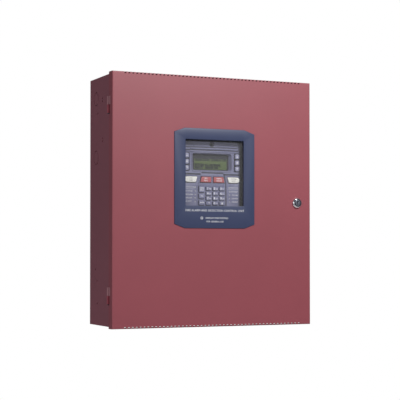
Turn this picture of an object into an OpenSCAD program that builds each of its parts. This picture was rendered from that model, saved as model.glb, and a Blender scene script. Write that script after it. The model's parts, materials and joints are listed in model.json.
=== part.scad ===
// Wall-mounted fire alarm control panel: steel backbox, hinged door with a window, display and
// keypad unit, circuit boards, transformer and standby batteries.
// X runs to the right, Y towards the wall and Z up. The origin is the centre of the wall face.

/* [Cabinet] */
// Width of the backbox
box_w = 422.9; // [400:0.1:520]
// Height of the backbox
box_h = 482.6; // [400:0.1:600]
// Depth from the wall to the front face of the door
cabinet_d = 133.4; // [128:0.1:180]
// Thickness of the sheet steel
sheet = 1.5; // [1:0.1:1.8]
// Outside radius of the bends
bend_r = 2; // [1.9:0.1:3]
// Width of the return lip round the mouth of the backbox
lip_w = 14; // [10:0.5:14]
// Width between the wall-mounting holes
wall_hole_dx = 355.6; // [200:0.1:380]
// Height between the wall-mounting holes
wall_hole_dz = 381; // [200:0.1:384]
// Radius of the wall-mounting holes
wall_hole_r = 3.5; // [2:0.1:5]
// Radius of the conduit knockouts
knockout_r = 13.5; // [8:0.1:14]
// Width of the cut round a knockout
knockout_cut_w = 1.2; // [0.5:0.1:2]
// Radius of the locating holes in the side wall
locating_r = 2; // [1:0.1:3]

/* [Door] */
// Depth of the door's flange
flange_d = 18.3; // [15:0.1:18.6]
// Gap between the backbox's side and the flange
side_gap = 0.7; // [0.6:0.1:1.5]
// Gap between the backbox's top or bottom and the flange
end_gap = 1.8; // [1:0.1:3]
// Gap between the mouth of the backbox and the door's sheet
face_gap = 0.6; // [0.4:0.1:1]
// Number of vent slots along each end of the door
vent_count = 48; // [20:1:48]
// Distance from one vent slot to the next
vent_pitch = 7.96; // [6:0.01:8]
// Width of a vent slot
vent_w = 4; // [2:0.1:4.8]
// Depth of a vent slot into the flange
vent_d = 2.6; // [2.2:0.1:10]
// Height of a vent slot down the door's face
vent_bite = 3.4; // [2:0.1:5]

/* [Hinges and lock] */
// Height of the hinges above and below the door's centre
hinge_z = 182; // [120:1:190]
// Height of one half of a hinge
leaf_h = 16; // [12:0.5:20]
// Outside radius of the hinge knuckles
knuckle_r = 2.3; // [2:0.1:3.2]
// Radius of the hinge pins
pin_r = 1.1; // [0.8:0.1:1.3]
// Running clearance of the pins in the door's knuckles
pin_fit = 0.05; // [0.03:0.01:0.1]
// Distance from the door's right edge to the lock
lock_inset = 30.65; // [30:0.05:34]
// Radius of the lock's head
lock_head_r = 10.4; // [10:0.1:12]
// Radius of the lock's barrel
barrel_r = 9.4; // [8:0.1:9.6]
// Radius of the lock's plug
plug_r = 6; // [4:0.1:7]
// Running clearance of the plug in the barrel
plug_fit = 0.06; // [0.03:0.01:0.1]
// Reach of the cam from the lock's axis
cam_reach = 24; // [18:0.1:25]

/* [Window] */
// Width of the bezel beside the window
bezel_side = 23.8; // [22:0.1:30]
// Width of the bezel above the window
bezel_over = 22; // [20:0.1:30]
// Width of the bezel below the window
bezel_under = 44; // [42:0.1:50]
// Half the width of the window
window_hw = 62.7; // [62:0.1:64]
// Top of the window
window_top = 120.5; // [119:0.1:124]
// Bottom of the window
window_bottom = -8.5; // [-12:0.1:-8]
// Thickness of the bezel's face
bezel_t = 1.6; // [1.2:0.1:2.5]
// Thickness of the window pane
pane_t = 2; // [1.5:0.1:3]

/* [Display unit] */
// Depth of the display cover's face behind the door's face
display_drop = 13.4; // [13:0.1:14]
// Half the width of the display cover
cover_hw = 62; // [61:0.1:64]
// Top of the display cover
cover_top = 118; // [117:0.1:119]
// Bottom of the display cover
cover_bottom = -14; // [-18:0.1:-13]
// Wall of the display cover
cover_t = 2; // [1.6:0.1:2.4]
// Thickness of the plate behind the display unit
plate_t = 1.2; // [1:0.1:2]
// Clearance round each key in the cover
key_gap = 0.4; // [0.3:0.05:0.6]
// Height of a key above the cover's face
key_rise = 2.4; // [1:0.1:2.6]
// Travel of a key
key_travel = 1.2; // [0.8:0.1:1.4]
// Pitch of the keypad's columns
key_pitch_x = 14.4; // [13.4:0.1:15]
// Pitch of the keypad's rows
key_pitch_z = 9.6; // [8.6:0.1:9.6]

/* [Inside] */
// Width of a battery
battery_w = 151; // [100:1:151]
// Height of a battery's case
battery_h = 94; // [80:1:100]
// Depth of a battery
battery_d = 65; // [50:1:90]
// Distance from the wall to the chassis plate
chassis_y = 30; // [20:1:36]
// Clear gutter above the chassis
gutter = 15; // [10:1:30]
// Width of the chassis plate
chassis_w = 380; // [300:1:384]
// Gap between the chassis plate and the main board
board_gap = 12; // [8:1:16]

/* [Hidden] */
$fn = 48;
board_t = 1.6;
front_y = -cabinet_d;
door_in_y = front_y + sheet;
box_front_y = door_in_y + face_gap;
flange_rear_y = front_y + flange_d;
door_w = box_w + 2 * (sheet + side_gap);
door_h = box_h + 2 * (sheet + end_gap);
inner_hw = box_w / 2 - sheet;
inner_hh = box_h / 2 - sheet;
// hinge axis: outside the backbox and just behind the flange
hinge_x = -(box_w / 2 + knuckle_r + 0.35);
hinge_y = flange_rear_y + 2.1;
leaf_d = 8;
leaf_gap = 0.3;
lock_x = door_w / 2 - lock_inset;
barrel_end = front_y + 15.8;
lock_nut_t = 3;
lock_nut_r = 12;
cam_t = 1.6;
cam_step_r = 13;
cam_face_y = box_front_y + sheet + 0.4;
bezel_hw = window_hw + bezel_side;
bezel_top = window_top + bezel_over;
bezel_bottom = window_bottom - bezel_under;
// stack behind the window
gasket_t = 1;
pane_y = door_in_y + gasket_t;
pane_back_y = pane_y + pane_t;
retainer_t = 1.2;
retainer_y = pane_back_y + retainer_t;
stud_r = 1.5;
stud_x = bezel_hw - 7.5;
studs = [for (x = [-stud_x, stud_x], z = [bezel_bottom + 12.5, (bezel_top + bezel_bottom) / 2,
                                           bezel_top - 12.5]) [x, z]];
nut_t = 2.4;
// display unit planes, from the front to the back
cover_y = front_y + display_drop;
step_y = cover_y + 2.2;
key_front_y = cover_y - key_rise;
web_y = step_y + cover_t;
key_flange_y = web_y + 0.1;
key_end_y = cover_y + 8.6;
mat_y = key_end_y + key_travel + 0.2;
display_board_y = mat_y + 1.8;
plate_y = display_board_y + board_t;
lcd_frame_y = display_board_y - 6;
lcd_glass_y = lcd_frame_y + 0.6;
lcd_z = 77;
// circuit boards
main_board_y = -chassis_y - board_gap - board_t;
chassis_top = inner_hh - gutter;
chassis_bottom = -inner_hh + battery_h + 26;
chassis_hw = chassis_w / 2;
board_hw = chassis_hw - 20;
board_top = chassis_top - 12;
board_bottom = chassis_bottom + 12;
cover_posts = [[0, cover_top - 5], [-52, cover_bottom + 4], [52, cover_bottom + 4]];
screw_r = 1.5;
board_posts = [for (x = [-1, 1], z = [board_bottom + 8, (board_bottom + board_top) / 2, board_top - 8])
               [x * (board_hw - 8), z]];
chassis_feet = [for (x = [-1, 1], z = [chassis_bottom + 20, chassis_top - 20])
                [x * (chassis_hw - 12), z]];
battery_x0 = -inner_hw + 5;
battery_gap = 4;
battery_y = -sheet - 4;
terminal_h = 6;
floor_z = -inner_hh;
transformer_x = battery_x0 + 2 * battery_w + battery_gap + 10;
core_w = 66;
core_h = 56;
core_d = 34;

// every key: name, middle x, middle z, width, height, corner radius, slant of its left and right ends
pad_x0 = -7.4;
pad_z0 = 25.8;
pad_names = ["key_1", "key_2", "key_3", "key_4", "key_5", "key_6", "key_7", "key_8", "key_9",
             "key_star", "key_0", "key_hash"];
tall_names = ["key_menu", "key_enter", "key_clear"];
long_names = ["key_acknowledge", "key_drill", "key_silence", "key_reset"];
side_names = ["key_left_up", "key_left_mid", "key_left_down", "key_right_up", "key_right_mid",
              "key_right_down"];
pad_w = 11.4;
pad_h = 6.6;
tall_x = -22.6;
tall_h = [12, 9.4, 9.2];
tall_z = [24.6, 10.8, -2];
side_x = 54.6;
side_z = [90.4, 78.2, 66];
side_w = 8.6;
side_h = 9.4;
long_z0 = 38.2;
long_z1 = 48.8;
// half the distance between the round ends' centres of the two outer long keys
long_end_x = 54.2;
// the four long keys, as left and right ends at the bottom and at the top
long_ends = [[[-long_end_x, -34.8], [-long_end_x, -32.6]], [[-25.4, -2.4], [-22.6, -2.4]],
             [[3.2, 26.6], [3.2, 23.8]], [[36, long_end_x], [33.6, long_end_x]]];
lamp_x = [-36, 38.5];
lamp_z = [for (i = [0:4]) 27.6 - i * 6.8];

// ---- shapes used by many pieces; a flat outline is drawn as seen from the front ----

// A plate whose outline is in X and Z, from y0 (front) to y1 (back)
module slab(y0, y1) {
  translate([0, y1, 0]) rotate([90, 0, 0]) linear_extrude(y1 - y0) children();
}

module rod(x, z, r, y0, y1) {
  translate([x, y1, z]) rotate([90, 0, 0]) cylinder(r = r, h = y1 - y0);
}

module hex_rod(x, z, r, y0, y1) {
  translate([x, y1, z]) rotate([90, 0, 0]) cylinder(r = r, h = y1 - y0, $fn = 6);
}

module block(x0, x1, y0, y1, z0, z1) {
  translate([x0, y0, z0]) cube([x1 - x0, y1 - y0, z1 - z0]);
}

module round_rect(x0, z0, x1, z1, r) {
  translate([x0 + r, z0]) square([x1 - x0 - 2 * r, z1 - z0]);
  translate([x0, z0 + r]) square([x1 - x0, z1 - z0 - 2 * r]);
  for (x = [x0 + r, x1 - r], z = [z0 + r, z1 - r]) translate([x, z]) circle(r);
}

module rect(x0, z0, x1, z1) {
  translate([x0, z0]) square([x1 - x0, z1 - z0]);
}

module bend_outline(w, d, r) {
  translate([-w / 2 + r, 0]) square([w - 2 * r, d]);
  translate([-w / 2, r]) square([w, d - r]);
  for (x = [-1, 1]) translate([x * (w / 2 - r), r]) circle(r);
}

// A block with its face at y = 0 and the four edges of that face bent to radius r
module bent_block(w, h, d, r) {
  intersection() {
    linear_extrude(h, center = true) bend_outline(w, d, r);
    rotate([0, 90, 0]) linear_extrude(w, center = true) bend_outline(h, d, r);
  }
}

// ---- cabinet ----

// The cut round a knockout, broken by two tabs that hold its slug
module knockout_cut(len) {
  difference() {
    cylinder(r = knockout_r, h = len, center = true);
    cylinder(r = knockout_r - knockout_cut_w, h = len + 1, center = true);
    rotate([0, 0, 35]) cube([3 * knockout_r, 3, len + 2], center = true);
  }
}

module side_knockouts(x) {
  for (z = [box_h / 2 - 40.3, box_h / 2 - 155.3])
    translate([x, -36.7, z]) rotate([0, 90, 0]) knockout_cut(3 * sheet);
}

module end_knockouts(z) {
  for (x = [-150, -90, 90, 150]) translate([x, -36.7, z]) knockout_cut(3 * sheet);
}

// distance from the wall, and height as a fraction of the backbox's height
locating_holes = [[74, 0.412], [74, 0.4], [46, 0.356], [73, 0.251], [73, 0.24], [43, 0.155],
                  [33, -0.274], [43, -0.321], [45, -0.412]];

module backbox() {
  color("firebrick") difference() {
    mirror([0, 1, 0]) bent_block(box_w, box_h, -box_front_y, bend_r);
    translate([0, -sheet, 0]) mirror([0, 1, 0])
      bent_block(2 * inner_hw, 2 * inner_hh, -box_front_y - 2 * sheet, bend_r - sheet + 0.1);
    block(-inner_hw + lip_w - sheet, inner_hw - lip_w + sheet, box_front_y - 1, -cabinet_d / 2,
          -inner_hh + lip_w - sheet, inner_hh - lip_w + sheet);
    for (x = [-1, 1], z = [-1, 1])
      rod(x * wall_hole_dx / 2, z * wall_hole_dz / 2, wall_hole_r, -2 * sheet, 1);
    for (x = [-box_w / 2, box_w / 2]) side_knockouts(x);
    for (z = [-box_h / 2, box_h / 2]) end_knockouts(z);
    for (p = locating_holes) translate([-box_w / 2, -p[0], p[1] * box_h])
      rotate([0, 90, 0]) cylinder(r = locating_r, h = 4 * sheet, center = true);
  }
}

module door() {
  color("indianred") difference() {
    translate([0, front_y, 0]) bent_block(door_w, door_h, flange_d, bend_r);
    translate([0, door_in_y, 0])
      bent_block(door_w - 2 * sheet, door_h - 2 * sheet, flange_d, bend_r - sheet + 0.1);
    slab(front_y - 1, door_in_y + 1)
      rect(-window_hw - 3, window_bottom - 3, window_hw + 3, window_top + 3);
    rod(lock_x, 0, barrel_r + 0.1, front_y - 1, door_in_y + 1);
    for (p = studs) rod(p[0], p[1], stud_r + 0.2, front_y - 1, door_in_y + 1);
    for (i = [0:vent_count - 1], s = [-1, 1])
      translate([(i - (vent_count - 1) / 2) * vent_pitch, front_y + vent_d / 2 - 0.5,
                 s * (door_h / 2 - vent_bite / 2 + 0.5)])
        cube([vent_w, vent_d + 1, vent_bite + 1], center = true);
    // notches beside the hinges: the upper half holds the door's leaf
    for (z = [-hinge_z, hinge_z]) {
      block(-door_w / 2 - 1, -door_w / 2 + sheet + 0.1, flange_rear_y - leaf_d, 0, z + leaf_gap,
            z + leaf_h);
      block(-door_w / 2 - 1, -door_w / 2 + sheet + 0.1, flange_rear_y - 3.6, 0, z - leaf_h - 2.6,
            z + leaf_gap + 0.01);
    }
  }
}

module door_hinge_leaves() {
  color("rosybrown") for (z = [-hinge_z, hinge_z]) difference() {
    union() {
      translate([hinge_x, hinge_y, z + leaf_gap]) cylinder(r = knuckle_r, h = leaf_h - leaf_gap);
      block(-door_w / 2, -door_w / 2 + sheet, flange_rear_y - leaf_d, hinge_y - 1, z + leaf_gap,
            z + leaf_h);
    }
    translate([hinge_x, hinge_y, z - 1]) cylinder(r = pin_r + pin_fit, h = leaf_h + 2);
  }
}

module box_hinge_leaves() {
  color("brown") for (z = [-hinge_z, hinge_z]) difference() {
    union() {
      translate([hinge_x, hinge_y, z - leaf_h]) cylinder(r = knuckle_r, h = leaf_h);
      block(-box_w / 2 - 1.2, -box_w / 2, hinge_y, hinge_y + 9, z - leaf_h, z);
    }
    translate([hinge_x, hinge_y, z - leaf_h - 1]) cylinder(r = pin_r, h = leaf_h + 2);
  }
}

module hinge_pins() {
  color("silver") for (z = [-hinge_z, hinge_z]) translate([hinge_x, hinge_y, z - leaf_h - 1.6]) {
    cylinder(r = knuckle_r - 0.4, h = 1.6);
    cylinder(r = pin_r, h = 2 * leaf_h + 1.2);
  }
}

// ---- door fittings ----

module bezel_outline() {
  cut_x = 22.3;
  cut_z = 8;
  polygon([[-bezel_hw, bezel_bottom + cut_z], [-bezel_hw + cut_x, bezel_bottom],
           [bezel_hw - cut_x, bezel_bottom], [bezel_hw, bezel_bottom + cut_z],
           [bezel_hw, bezel_top - cut_z], [bezel_hw - cut_x, bezel_top],
           [-bezel_hw + cut_x, bezel_top], [-bezel_hw, bezel_top - cut_z]]);
}

module window_rect(grow) {
  rect(-window_hw - grow, window_bottom - grow, window_hw + grow, window_top + grow);
}

module window_bezel() {
  color("steelblue") {
    difference() {
      union() {
        slab(front_y - bezel_t, front_y) bezel_outline();
        slab(front_y, door_in_y) window_rect(2.8);
      }
      slab(front_y - bezel_t - 1, door_in_y + 1) window_rect(0);
    }
    for (p = studs) rod(p[0], p[1], stud_r, front_y - 0.01, retainer_y + nut_t + 0.8);
  }
}

module window_gasket() {
  color("black") difference() {
    slab(door_in_y, pane_y) window_rect(9);
    slab(door_in_y - 1, pane_y + 1) window_rect(1);
  }
}

module window_pane() {
  color("lightcyan", 0.4) slab(pane_y, pane_back_y) window_rect(9);
}

module window_retainer() {
  hw = stud_x + 5;
  z0 = bezel_bottom + 6;
  z1 = bezel_top - 6;
  color("gainsboro") difference() {
    slab(door_in_y, retainer_y) rect(-hw, z0, hw, z1);
    slab(door_in_y - 1, pane_back_y) rect(-hw + retainer_t, z0 + retainer_t, hw - retainer_t,
                                          z1 - retainer_t);
    slab(door_in_y - 1, retainer_y + 1) window_rect(0.6);
    for (p = studs) rod(p[0], p[1], stud_r + 0.2, pane_back_y - 1, retainer_y + 1);
  }
}

module door_nuts() {
  color("silver") {
    for (p = studs) difference() {
      hex_rod(p[0], p[1], 3.2, retainer_y, retainer_y + nut_t);
      rod(p[0], p[1], stud_r, retainer_y - 1, retainer_y + nut_t + 1);
    }
    difference() {
      hex_rod(lock_x, 0, lock_nut_r, door_in_y, door_in_y + lock_nut_t);
      rod(lock_x, 0, barrel_r, door_in_y - 1, door_in_y + lock_nut_t + 1);
    }
  }
}

module lock_body() {
  bore = plug_r + plug_fit;
  color("silver") translate([lock_x, front_y, 0]) rotate([90, 0, 0]) {
    rotate_extrude() polygon([[bore, 0], [lock_head_r, 0], [lock_head_r, 1.6],
                              [lock_head_r - 1, 3.6], [lock_head_r - 2.2, 4.6], [bore, 4.6]]);
    translate([0, 0, front_y - barrel_end]) rotate_extrude()
      polygon([[bore, 0], [barrel_r, 0], [barrel_r, barrel_end - front_y],
               [bore, barrel_end - front_y]]);
  }
}

module lock_plug() {
  tail_r = 3;
  color("gainsboro") difference() {
    union() {
      rod(lock_x, 0, plug_r, front_y - 4.9, barrel_end + 0.2);
      rod(lock_x, 0, tail_r, barrel_end, barrel_end + 0.2 + cam_t);
    }
    block(lock_x - 0.7, lock_x + 0.7, front_y - 6, front_y + 6, -4, 4);
  }
}

module lock_cam() {
  hub_y = barrel_end + 0.2;
  color("darkgray") {
    difference() {
      union() {
        rod(lock_x, 0, 7, hub_y, hub_y + cam_t);
        block(lock_x - 6, lock_x + 6, hub_y, hub_y + cam_t, -cam_step_r - cam_t, 0);
        block(lock_x - 6, lock_x + 6, cam_face_y, hub_y + cam_t, -cam_step_r - cam_t, -cam_step_r);
        slab(cam_face_y, cam_face_y + cam_t)
          polygon([[lock_x - 6, -cam_step_r], [lock_x + 6, -cam_step_r],
                   [lock_x + 6, -cam_reach + 3], [lock_x + 3, -cam_reach],
                   [lock_x - 3, -cam_reach], [lock_x - 6, -cam_reach + 3]]);
      }
      rod(lock_x, 0, 3, hub_y - 1, hub_y + cam_t + 1);
    }
    rod(lock_x, 0, 4.6, hub_y + cam_t, hub_y + cam_t + 1.8);
  }
}

// ---- chassis, main board and what is on it ----

module chassis() {
  color("lightgray") difference() {
    union() {
      block(-chassis_hw, chassis_hw, -chassis_y, -chassis_y + sheet, chassis_bottom, chassis_top);
      for (s = [-1, 1]) {
        block(s * (chassis_hw - sheet / 2) - sheet / 2, s * (chassis_hw - sheet / 2) + sheet / 2,
              -chassis_y, -sheet, chassis_bottom, chassis_top);
        for (z = [chassis_bottom, chassis_top - 40])
          block(s * (chassis_hw - 10) - 10, s * (chassis_hw - 10) + 10, -2 * sheet, -sheet, z, z + 40);
      }
    }
    for (p = chassis_feet) {
      rod(p[0], p[1], 2.2, -2 * sheet - 1, -sheet + 1);
      rod(p[0], p[1], 6, -chassis_y - 1, -chassis_y + sheet + 1);
    }
    for (p = board_posts) rod(p[0], p[1], screw_r, -chassis_y - 1, -chassis_y + sheet + 1);
  }
}

module chassis_screws() {
  color("silver") {
    for (p = chassis_feet) rod(p[0], p[1], 4, -2 * sheet - 2.4, -2 * sheet);
    for (p = board_posts) rod(p[0], p[1], 3, main_board_y - 2, main_board_y);
    // earth stud on the back wall, below the chassis
    rod(inner_hw - 25, chassis_bottom - 14, 3, -sheet - 16, -sheet);
    hex_rod(inner_hw - 25, chassis_bottom - 14, 5, -sheet - 6, -sheet);
  }
}

module standoffs() {
  color("goldenrod") {
    for (p = board_posts) hex_rod(p[0], p[1], 3.2, main_board_y + board_t, -chassis_y);
    for (p = cover_posts) difference() {
      hex_rod(p[0], p[1], 3.6, plate_y + plate_t, main_board_y);
      rod(p[0], p[1], screw_r, display_board_y, display_board_y + 12);
    }
  }
}

module main_board() {
  color("darkgreen") slab(main_board_y, main_board_y + board_t)
    rect(-board_hw, board_bottom, board_hw, board_top);
}

terminal_pitch = 5.08;
terminal_block_w = 8 * terminal_pitch;

module terminal_block(x, z, up) {
  difference() {
    block(x, x + terminal_block_w, main_board_y - 14, main_board_y, z, z + 12);
    for (i = [0:7]) {
      rod(x + (i + 0.5) * terminal_pitch, z + 6, 1.6, main_board_y - 15, main_board_y - 10);
      translate([x + (i + 0.5) * terminal_pitch, main_board_y - 5, up ? z + 9 : z + 3])
        cube([3.4, 4, 8], center = true);
    }
  }
}

module terminal_blocks() {
  color("seagreen") {
    for (i = [0:5]) terminal_block(-board_hw + 20 + i * (terminal_block_w + 8), board_top - 14, true);
    for (i = [0:4]) terminal_block(-board_hw + 20 + i * (terminal_block_w + 8), board_bottom + 2,
                                   false);
  }
}

module capacitors() {
  color("midnightblue") for (p = [[-124, 128], [-124, 104], [-124, 80], [-100, 128], [-100, 104]])
    rod(p[0], p[1], 8, main_board_y - 26, main_board_y);
}

module relays() {
  color("black") for (i = [0:4])
    block(84, 112, main_board_y - 16, main_board_y, 110 - i * 24, 126 - i * 24);
}

module heat_sink() {
  color("dimgray") {
    block(-150, -84, main_board_y - 4, main_board_y, 6, 46);
    for (i = [0:7])
      block(-150 + i * 9.1, -148 + i * 9.1, main_board_y - 24, main_board_y - 3.9, 6, 46);
  }
}

module connectors() {
  color("ivory") {
    for (z = [40, 10, -20]) difference() {
      block(126, 140, main_board_y - 10, main_board_y, z, z + 22);
      block(128, 138, main_board_y - 11, main_board_y - 3, z + 2, z + 20);
    }
    block(-24, 24, main_board_y - 8, main_board_y, board_bottom + 34, board_bottom + 42);
    // mains terminals and fuse on the back wall, beside the transformer
    block(transformer_x + core_w + 6, transformer_x + core_w + 20, -sheet - 20, -sheet,
          floor_z + 30, floor_z + 80);
  }
}

module microchips() {
  color("dimgray") for (p = [[-60, 150, 22, 22], [-20, 152, 16, 16], [20, 150, 24, 10],
                             [60, 152, 14, 14], [-100, -50, 20, 8], [-60, -46, 18, 12],
                             [70, -50, 22, 22]])
    block(p[0], p[0] + p[2], main_board_y - 2.6, main_board_y, p[1], p[1] + p[3]);
}

module sounder() {
  color("black") difference() {
    rod(140, 90, 11, main_board_y - 10, main_board_y);
    rod(140, 90, 1.5, main_board_y - 11, main_board_y - 6);
  }
}

// ---- display unit ----

// Outline of one key, grown by g on every side
module key_outline(i, g) {
  if (i < 12) {
    x = pad_x0 + (i % 3) * key_pitch_x;
    z = pad_z0 - floor(i / 3) * key_pitch_z;
    round_rect(x - pad_w / 2 - g, z - pad_h / 2 - g, x + pad_w / 2 + g, z + pad_h / 2 + g, 1.2 + g);
  } else if (i < 15) {
    h = tall_h[i - 12] / 2 + g;
    z = tall_z[i - 12];
    round_rect(tall_x - pad_w / 2 - g, z - h, tall_x + pad_w / 2 + g, z + h, 1.2 + g);
  } else if (i < 19) {
    e = long_ends[i - 15];
    polygon([[e[0][0] - g, long_z0 - g], [e[0][1] + g, long_z0 - g], [e[1][1] + g, long_z1 + g],
             [e[1][0] - g, long_z1 + g]]);
    if (i == 15 || i == 18)
      translate([i == 15 ? -long_end_x : long_end_x, (long_z0 + long_z1) / 2])
        circle((long_z1 - long_z0) / 2 + g);
  } else {
    s = i < 22 ? -1 : 1;
    z = side_z[(i - 19) % 3];
    round_rect(s * side_x - side_w / 2 - g, z - side_h / 2 - g, s * side_x + side_w / 2 + g,
               z + side_h / 2 + g, 1.5 + g);
  }
}

function key_colour(i) = i == 15 || i == 18 ? "ivory" : i == 16 || i == 17 ? "indianred"
                         : "lightslategray";

module key(i) {
  color(key_colour(i)) {
    slab(key_front_y, key_end_y) key_outline(i, 0);
    slab(key_flange_y, key_flange_y + 1.2) key_outline(i, key_gap + 0.3);
  }
}

module display_cover() {
  wall = 1.8;
  color("slategray") difference() {
    union() {
      slab(cover_y, step_y) round_rect(-cover_hw + 3, cover_bottom, cover_hw - 3, cover_top, 3);
      slab(step_y, display_board_y + board_t)
        rect(-cover_hw, cover_bottom, cover_hw, cover_top);
      // ridges above the display
      for (z = [99, 104.5]) slab(cover_y - 0.8, cover_y) rect(-46, z, 46, z + 2.4);
    }
    difference() {
      slab(web_y, display_board_y + board_t + 1)
        rect(-cover_hw + wall, cover_bottom + wall, cover_hw - wall, cover_top - wall);
      for (p = cover_posts) rod(p[0], p[1], 4.2, cover_y, display_board_y);
      slab(web_y - 1, lcd_frame_y) rect(-45, lcd_z - 21, 45, lcd_z + 21);
    }
    // display opening
    slab(cover_y - 1, lcd_frame_y + 1) round_rect(-42.5, lcd_z - 16.5, 42.5, lcd_z + 18.5, 5);
    for (i = [0:24]) slab(cover_y - 1, web_y + 1) key_outline(i, key_gap);
    // open channels beside the side keys
    for (s = [-1, 1]) slab(cover_y - 1, step_y)
      rect(s * (cover_hw - 6.8) - 6.8, 59.5, s * (cover_hw - 6.8) + 6.8, 96.8);
    for (x = lamp_x, z = lamp_z) rod(x, z, 1.3, cover_y - 1, web_y + 1);
    for (p = cover_posts) {
      rod(p[0], p[1], screw_r + 0.1, cover_y - 1, display_board_y + 1);
      rod(p[0], p[1], 3.6, cover_y - 1, cover_y + 3);
    }
    // grooves under the display and to the right of the keypad
    for (s = [-1, 1]) slab(cover_y - 1, cover_y + 0.8) rect(s * 42 - 18, 54.2, s * 42 + 18, 55.2);
    slab(cover_y - 1, cover_y + 0.8) rect(29.8, cover_bottom + 6, 31.2, 37);
  }
}

module cover_screws() {
  color("silver") for (p = cover_posts) {
    rod(p[0], p[1], 2.9, cover_y + 1, cover_y + 3);
    rod(p[0], p[1], screw_r, cover_y + 3, display_board_y + 10);
  }
}

module keypad_mat() {
  side_mat_hw = side_w / 2 + key_gap + 0.3;
  color("dimgray") difference() {
    slab(mat_y, display_board_y) union() {
      rect(-cover_hw + 3, -9, cover_hw - 3, 52);
      for (s = [-1, 1]) rect(s * side_x - side_mat_hw, 58, s * side_x + side_mat_hw, 98);
    }
    for (x = lamp_x, z = lamp_z) rod(x, z, 1.8, mat_y - 1, display_board_y + 1);
    for (p = cover_posts) rod(p[0], p[1], 4.6, mat_y - 1, display_board_y + 1);
  }
}

module status_lamps() {
  color("gold") for (x = lamp_x, z = lamp_z) rod(x, z, 1.2, cover_y - 0.3, display_board_y);
}

module lcd_frame() {
  color("black") difference() {
    slab(lcd_frame_y, display_board_y) rect(-46.5, lcd_z - 22, 46.5, lcd_z + 21.6);
    slab(lcd_frame_y - 1, lcd_glass_y + 2) rect(-36, lcd_z - 14.4, 36, lcd_z + 11.4);
  }
}

module lcd_glass() {
  color("olivedrab") slab(lcd_glass_y, lcd_glass_y + 2)
    rect(-36, lcd_z - 14.4, 36, lcd_z + 11.4);
}

module display_board() {
  fit = 2;
  color("darkgreen") difference() {
    slab(display_board_y, display_board_y + board_t)
      rect(-cover_hw + fit, cover_bottom + fit, cover_hw - fit, cover_top - fit);
    for (p = cover_posts) rod(p[0], p[1], screw_r + 0.1, display_board_y - 1,
                              display_board_y + board_t + 1);
  }
}

// Plate that carries the display unit, with a slot for its flat lead
module display_plate() {
  color("black") difference() {
    slab(plate_y, plate_y + plate_t)
      round_rect(-cover_hw - 20, cover_bottom - 14, cover_hw + 20, cover_top + 16, 4);
    for (p = cover_posts) rod(p[0], p[1], screw_r + 0.1, plate_y - 1, plate_y + plate_t + 1);
    slab(plate_y - 1, plate_y + plate_t + 1) round_rect(-18, -8, 18, 12, 3);
  }
}

// ---- power supply and wiring ----

module transformer_core() {
  color("gray") difference() {
    block(transformer_x, transformer_x + core_w, -sheet - 8 - core_d, -sheet - 8, floor_z + 6,
          floor_z + 6 + core_h);
    for (x = [core_w * 0.17, core_w * 0.83 - 11])
      block(transformer_x + x, transformer_x + x + 11, -60, 0, floor_z + 16, floor_z + core_h - 4);
  }
  color("gray") for (x = [10, core_w - 18])
    block(transformer_x + x, transformer_x + x + 8, -sheet - 8, -sheet, floor_z + 6, floor_z + 16);
}

module transformer_coil() {
  coil_y0 = -sheet - 8 - core_d - 9;
  mid_x0 = transformer_x + core_w * 0.17;
  mid_x1 = transformer_x + core_w * 0.83;
  color("gold") difference() {
    block(mid_x0 + 0.2, mid_x1 - 0.2, coil_y0, -sheet - 1, floor_z + 16.2, floor_z + core_h - 4.2);
    block(mid_x0 + 10.9, mid_x1 - 10.9, -sheet - 8.1 - core_d, -sheet - 7.9, floor_z, floor_z + core_h);
  }
}

module batteries() {
  for (i = [0, 1]) {
    x = battery_x0 + i * (battery_w + battery_gap);
    color("dimgray") {
      block(x, x + battery_w, battery_y - battery_d, battery_y, floor_z, floor_z + battery_h);
      for (t = [12, battery_w - 18])
        block(x + t, x + t + 6, battery_y - battery_d + 8, battery_y - battery_d + 8.8,
              floor_z + battery_h - 0.1, floor_z + battery_h + terminal_h);
    }
  }
}

// Round lead swept along a smooth curve through its points
lead_sides = 8;
lead_steps = 5;

function smooth(p, i, t) =
  let (a = p[max(i - 1, 0)], b = p[i], c = p[i + 1], d = p[min(i + 2, len(p) - 1)])
  0.5 * (2 * b + (c - a) * t + (2 * a - 5 * b + 4 * c - d) * t * t
         + (3 * b - a - 3 * c + d) * t * t * t);

function path(p) = concat([for (i = [0:len(p) - 2], k = [0:lead_steps - 1])
                           smooth(p, i, k / lead_steps)], [p[len(p) - 1]]);

module lead(points, r) {
  p = path(points);
  n = len(p);
  rings = [for (i = [0:n - 1])
    let (q = p[min(i + 1, n - 1)] - p[max(i - 1, 0)], t = q / norm(q),
         u0 = cross(t, [0.31, 0.94, 0.12]), u = u0 / norm(u0), v = cross(t, u))
    for (k = [0:lead_sides - 1]) p[i] + r * (cos(k * 360 / lead_sides) * u
                                             + sin(k * 360 / lead_sides) * v)];
  sides = [for (i = [0:n - 2], k = [0:lead_sides - 1])
    let (a = i * lead_sides + k, b = i * lead_sides + (k + 1) % lead_sides)
    [a, a + lead_sides, b + lead_sides, b]];
  first = [for (k = [0:lead_sides - 1]) k];
  last = [for (k = [lead_sides - 1:-1:0]) (n - 1) * lead_sides + k];
  polyhedron(rings, concat(sides, [first], [last]));
}

// Flat cable of width w, centred on X, along points in Y and Z
module ribbon(points, w, t) {
  p = path(points);
  n = len(p);
  side = [for (i = [0:n - 1])
    let (q = p[min(i + 1, n - 1)] - p[max(i - 1, 0)]) [-q[1], q[0]] / norm(q) * t / 2];
  rotate([90, 0, 90]) linear_extrude(w, center = true)
    polygon(concat([for (i = [0:n - 1]) p[i] + side[i]],
                   [for (i = [n - 1:-1:0]) p[i] - side[i]]));
}

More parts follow.
